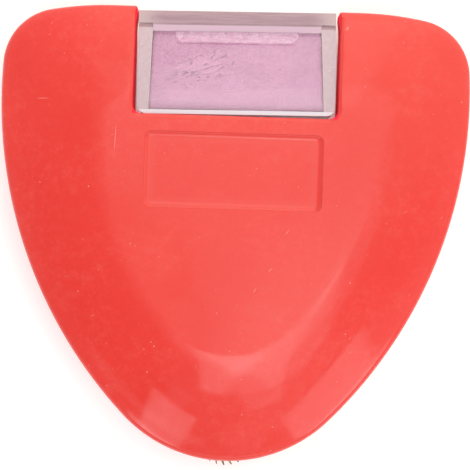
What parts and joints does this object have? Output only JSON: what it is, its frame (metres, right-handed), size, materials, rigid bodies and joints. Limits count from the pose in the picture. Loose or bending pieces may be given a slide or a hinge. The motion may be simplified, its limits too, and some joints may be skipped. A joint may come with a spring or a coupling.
{
  "type": "tailor's chalk marker",
  "caption": "Flat rounded-triangle tailor's chalk marker: a powder-filled case with a toothed marking wheel at its tip and a clear cartridge that pulls out of its wide end.",
  "frame": {"origin": "On the plane that the marker rests on, under the middle of its bounding box", "axes": "+Z out of the front face, +Y towards the cartridge, -Y towards the wheel, X across the widest part"},
  "size_m": [0.065, 0.0635, 0.013],
  "materials": {
    "red_plastic": "glossy moulded plastic, lightly scuffed",
    "clear_plastic": "clear moulded plastic",
    "chalk_powder": "fine matte pink powder",
    "wheel_brass": "worn brass, dusty",
    "axle_steel": "drawn steel wire"
  },
  "bodies": {
    "case": {"front_shell": "red_plastic", "back_shell": "red_plastic", "funnel_powder": "chalk_powder", "wheel_axle": "axle_steel"},
    "cartridge": {"refill_cartridge": "clear_plastic", "cartridge_powder": "chalk_powder"},
    "wheel": {"marking_wheel": "wheel_brass"}
  },
  "joints": [
    {"name": "cartridge_pull", "type": "slide", "parent": "case", "child": "cartridge", "axis": [0, 1, 0], "range_m": [0, 0.028]},
    {"name": "wheel_spin", "type": "hinge", "parent": "case", "child": "wheel", "pos_m": [0, -0.02755, 0.0065], "axis": [0, 0, 1], "continuous": true}
  ]
}
